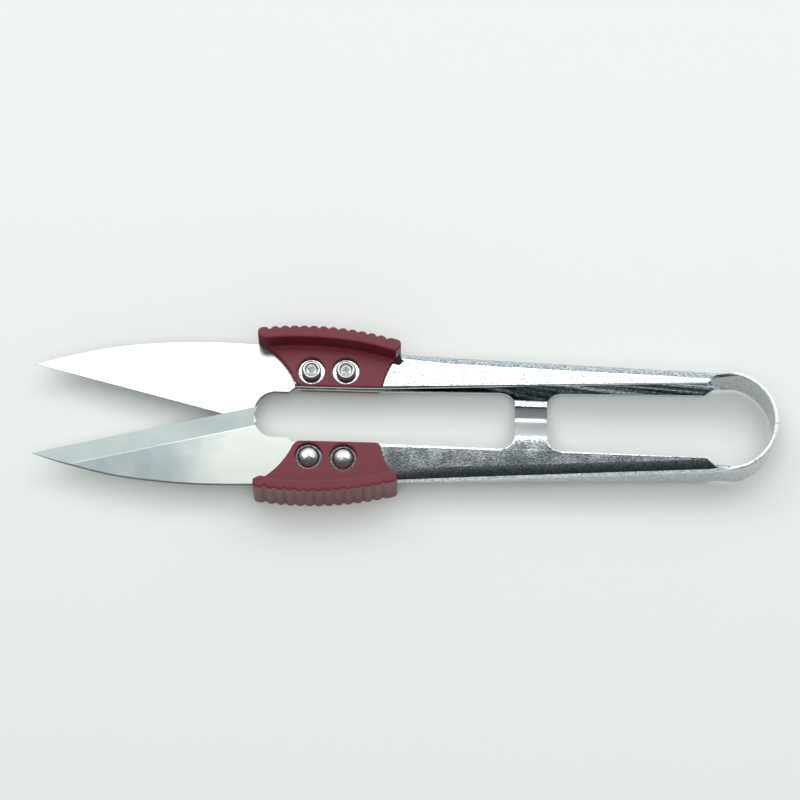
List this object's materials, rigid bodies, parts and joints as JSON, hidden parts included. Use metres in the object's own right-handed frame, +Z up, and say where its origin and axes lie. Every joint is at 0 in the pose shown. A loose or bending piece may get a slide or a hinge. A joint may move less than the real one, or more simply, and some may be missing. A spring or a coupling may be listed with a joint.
{
  "type": "thread snips",
  "caption": "Spring-action thread snips: a bent strip frame with channel arms, riveted blades and moulded finger grips, held open by its bow.",
  "frame": {"origin": "centre of the footprint, on the surface that the grips' lower rims rest on", "axes": "+X along the snips towards the bow (tips at -X), +Y towards the thumb half, +Z up, across the blades' cutting planes"},
  "size_m": [0.1044, 0.024, 0.009],
  "materials": {
    "plated_strip": "bright plated, slightly mottled",
    "ground_steel": "ground satin",
    "grip_plastic": "satin moulded",
    "rivet_metal": "satin"
  },
  "bodies": {
    "bow": {"spring_bow": "plated_strip"},
    "thumb_side": {"thumb_arm": "plated_strip", "thumb_blade": "ground_steel", "thumb_grip": "grip_plastic", "thumb_front_rivet": "rivet_metal", "thumb_rear_rivet": "rivet_metal"},
    "finger_side": {"finger_arm": "plated_strip", "finger_blade": "ground_steel", "finger_grip": "grip_plastic", "finger_front_rivet": "rivet_metal", "finger_rear_rivet": "rivet_metal"}
  },
  "joints": [
    {"name": "thumb_squeeze", "type": "hinge", "parent": "bow", "child": "thumb_side", "pos_m": [0.044, 0.00693, 0.0045], "axis": [0, 0, 1], "range_deg": [0, 3.8], "stiffness_Nm_per_rad": 0.9, "deforming": ["spring_bow"]},
    {"name": "finger_squeeze", "type": "hinge", "parent": "bow", "child": "finger_side", "pos_m": [0.044, -0.00693, 0.0045], "axis": [0, 0, 1], "range_deg": [-3.8, 0], "stiffness_Nm_per_rad": 0.9, "deforming": ["spring_bow"]}
  ],
  "couplings": [
    {"joint": "finger_squeeze", "follows": "thumb_squeeze", "ratio": -1}
  ]
}
